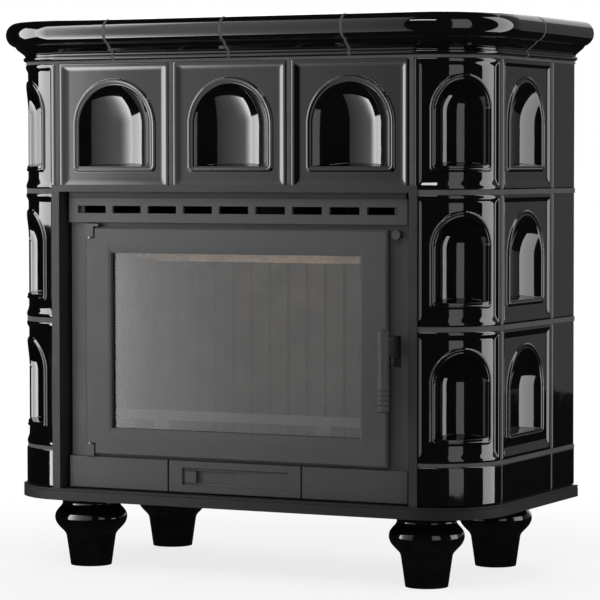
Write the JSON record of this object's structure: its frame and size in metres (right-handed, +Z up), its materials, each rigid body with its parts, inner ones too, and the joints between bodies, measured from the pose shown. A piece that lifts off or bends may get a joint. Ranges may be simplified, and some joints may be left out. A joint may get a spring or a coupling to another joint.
{
  "type": "tiled stove",
  "caption": "Black-glazed tiled stove on turned feet: arched-niche tiles and a cornice round a steel fireplace insert with a hinged glass door, ash drawer and damper.",
  "frame": {"origin": "centre of the bounding box on the floor, under the four feet", "axes": "+X to the stove's right seen from the front, +Y towards its back, +Z up"},
  "size_m": [0.9578, 0.4809, 0.9434],
  "materials": {
    "glaze": "gloss",
    "mortar": "matte",
    "dark_steel": "matte",
    "dark_iron": "matte",
    "black_steel": "matte",
    "cast_iron": "matte",
    "foot_gloss": "gloss",
    "lining": "matte",
    "rope": "matte",
    "bright_steel": "brushed",
    "glass": "gloss"
  },
  "bodies": {
    "stove": {"corner_tile_left_1": "glaze", "side_tile_left_1": "glaze", "end_tile_left_1": "glaze", "corner_tile_left_2": "glaze", "side_tile_left_2": "glaze", "end_tile_left_2": "glaze", "corner_tile_left_3": "glaze", "side_tile_left_3": "glaze", "end_tile_left_3": "glaze", "plinth_left": "glaze", "cornice_front_left": "glaze", "cornice_corner_left": "glaze", "cornice_side_left": "glaze", "lining_left": "lining", "foot_front_left": "foot_gloss", "foot_back_left": "foot_gloss", "corner_tile_right_1": "glaze", "side_tile_right_1": "glaze", "end_tile_right_1": "glaze", "corner_tile_right_2": "glaze", "side_tile_right_2": "glaze", "end_tile_right_2": "glaze", "corner_tile_right_3": "glaze", "side_tile_right_3": "glaze", "end_tile_right_3": "glaze", "plinth_right": "glaze", "cornice_front_right": "glaze", "cornice_corner_right": "glaze", "cornice_side_right": "glaze", "lining_right": "lining", "foot_front_right": "foot_gloss", "foot_back_right": "foot_gloss", "front_tile_1": "glaze", "front_tile_2": "glaze", "front_tile_3": "glaze", "mortar": "mortar", "base_plate": "black_steel", "top_plate": "black_steel", "back_panel": "black_steel", "flue_pipe": "black_steel", "surround_frame": "dark_steel", "insert_front": "dark_steel", "vent_panel": "dark_steel", "cover_left": "dark_steel", "cover_right": "dark_steel", "firebox_body": "black_steel", "grate": "cast_iron", "log_guard": "cast_iron", "lining_back": "lining", "baffle": "lining", "hinge_pin_top": "bright_steel", "hinge_pin_bottom": "bright_steel"},
    "door": {"door_frame": "dark_iron", "door_glass": "glass", "glass_retainer": "black_steel", "door_seal": "rope"},
    "handle": {"door_handle": "dark_iron"},
    "drawer": {"ash_drawer": "dark_steel"},
    "air_slide": {"air_slider": "dark_steel"},
    "damper": {"damper_slide": "dark_steel"}
  },
  "joints": [
    {"name": "door_hinge", "type": "hinge", "parent": "stove", "child": "door", "pos_m": [-0.279, -0.192, 0.396], "axis": [0, 0, -1], "range_deg": [0, 105]},
    {"name": "handle_pivot", "type": "hinge", "parent": "door", "child": "handle", "pos_m": [0.292, -0.191, 0.4], "axis": [-1, 0, 0], "range_deg": [0, 30]},
    {"name": "drawer_slide", "type": "slide", "parent": "stove", "child": "drawer", "axis": [0, -1, 0], "range_m": [0, 0.22]},
    {"name": "air_slide", "type": "slide", "parent": "drawer", "child": "air_slide", "axis": [1, 0, 0], "range_m": [0, 0.07]},
    {"name": "damper_pull", "type": "slide", "parent": "stove", "child": "damper", "axis": [0, -1, 0], "range_m": [0, 0.08]}
  ]
}
